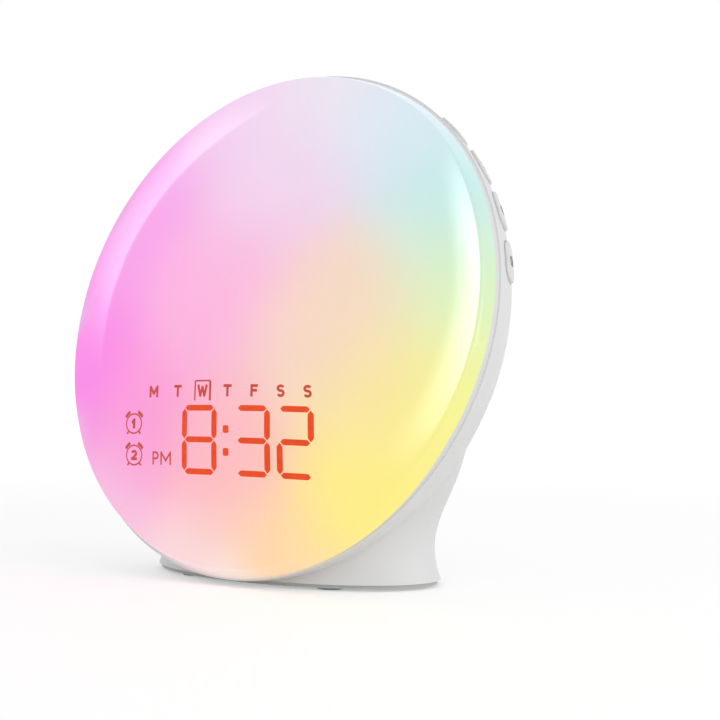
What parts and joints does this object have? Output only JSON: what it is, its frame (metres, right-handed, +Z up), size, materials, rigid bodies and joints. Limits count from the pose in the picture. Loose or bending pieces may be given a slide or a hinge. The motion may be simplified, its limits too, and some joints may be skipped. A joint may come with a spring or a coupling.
{
  "type": "sunrise alarm clock",
  "caption": "Free-standing bedside light alarm clock: a round milky lit lens with a digital display, on a bowl-shaped housing that leans back on an oval pedestal, with sprung rim buttons.",
  "frame": {"origin": "on the table plane, below the middle of the clock's bounding box", "axes": "+Z up, -Y towards the viewer that the lens faces, +X to that viewer's right"},
  "size_m": [0.171, 0.0722, 0.1692],
  "materials": {
    "lens": "milky, semi-gloss, lit from behind",
    "housing": "fine satin",
    "snooze_cap": "satin, ribbed edge",
    "button": "satin",
    "circuit_board": "solder mask over glass-epoxy board",
    "switch": "moulded",
    "reflector": "white, diffuse",
    "lamp": "white package, clear drop",
    "light_box": "white moulding",
    "display_insert": "milky orange-red, lit",
    "speaker_steel": "black coated steel",
    "speaker_paper": "pressed cone, matt",
    "speaker_magnet": "ground ferrite",
    "base": "satin",
    "foot_rubber": "matt",
    "cell_steel": "polished can",
    "contact": "plated spring metal",
    "jack_black": "moulded",
    "chip_black": "moulded package",
    "capacitor": "sleeved can",
    "connector": "moulded",
    "ribbon": "flat cable",
    "screw": "zinc plated"
  },
  "bodies": {
    "clock": {"diffuser_lens": "lens", "rear_housing": "housing", "right_key_board": "circuit_board", "left_key_board": "circuit_board", "right_key_switches": "switch", "left_key_switches": "switch", "snooze_board": "circuit_board", "snooze_switch": "switch", "light_chassis": "reflector", "light_board": "circuit_board", "lamps": "lamp", "display_light_box": "light_box", "display_inserts": "display_insert", "display_board": "circuit_board", "speaker_frame": "speaker_steel", "speaker_cone": "speaker_paper", "speaker_magnet": "speaker_magnet", "base_plate": "base", "rubber_feet": "foot_rubber", "coin_cell": "cell_steel", "battery_contacts": "contact", "dc_jack": "jack_black", "dc_jack_pin": "contact", "main_board": "circuit_board", "processor": "chip_black", "capacitors": "capacitor", "cable_header": "connector", "ribbon_cable": "ribbon", "chassis_screws": "screw", "light_board_screws": "screw", "display_board_screws": "screw", "speaker_screws": "screw", "main_board_screws": "screw", "base_screws": "screw"},
    "snooze": {"snooze_button": "snooze_cap"},
    "alarm_one": {"alarm_one_button": "button"},
    "alarm_two": {"alarm_two_button": "button"},
    "light": {"light_button": "button"},
    "colour": {"colour_button": "button"},
    "time_set": {"time_set_button": "button"},
    "volume_up": {"volume_up_button": "button"},
    "volume_down": {"volume_down_button": "button"},
    "radio": {"radio_button": "button"},
    "cell_door": {"battery_door": "base"}
  },
  "joints": [
    {"name": "snooze_press", "type": "slide", "parent": "clock", "child": "snooze", "axis": [0, -0.2351, -0.972], "range_m": [0, 0.001], "stiffness_N_per_m": 1500},
    {"name": "alarm_one_press", "type": "slide", "parent": "clock", "child": "alarm_one", "axis": [-0.682, -0.172, -0.7108], "range_m": [0, 0.0008], "stiffness_N_per_m": 1800},
    {"name": "alarm_two_press", "type": "slide", "parent": "clock", "child": "alarm_two", "axis": [-0.8171, -0.1355, -0.5603], "range_m": [0, 0.0008], "stiffness_N_per_m": 1800},
    {"name": "light_press", "type": "slide", "parent": "clock", "child": "light", "axis": [-0.9178, -0.0934, -0.386], "range_m": [0, 0.0008], "stiffness_N_per_m": 1800},
    {"name": "colour_press", "type": "slide", "parent": "clock", "child": "colour", "axis": [-0.9796, -0.0473, -0.1954], "range_m": [0, 0.0008], "stiffness_N_per_m": 1800},
    {"name": "time_set_press", "type": "slide", "parent": "clock", "child": "time_set", "axis": [0.682, -0.172, -0.7108], "range_m": [0, 0.0008], "stiffness_N_per_m": 1800},
    {"name": "volume_up_press", "type": "slide", "parent": "clock", "child": "volume_up", "axis": [0.8171, -0.1355, -0.5603], "range_m": [0, 0.0008], "stiffness_N_per_m": 1800},
    {"name": "volume_down_press", "type": "slide", "parent": "clock", "child": "volume_down", "axis": [0.9178, -0.0934, -0.386], "range_m": [0, 0.0008], "stiffness_N_per_m": 1800},
    {"name": "radio_press", "type": "slide", "parent": "clock", "child": "radio", "axis": [0.9796, -0.0473, -0.1954], "range_m": [0, 0.0008], "stiffness_N_per_m": 1800},
    {"name": "cell_door_turn", "type": "hinge", "parent": "clock", "child": "cell_door", "pos_m": [0, 0.00196, 0.0009], "axis": [0, 0, -1], "range_deg": [0, 40]}
  ]
}
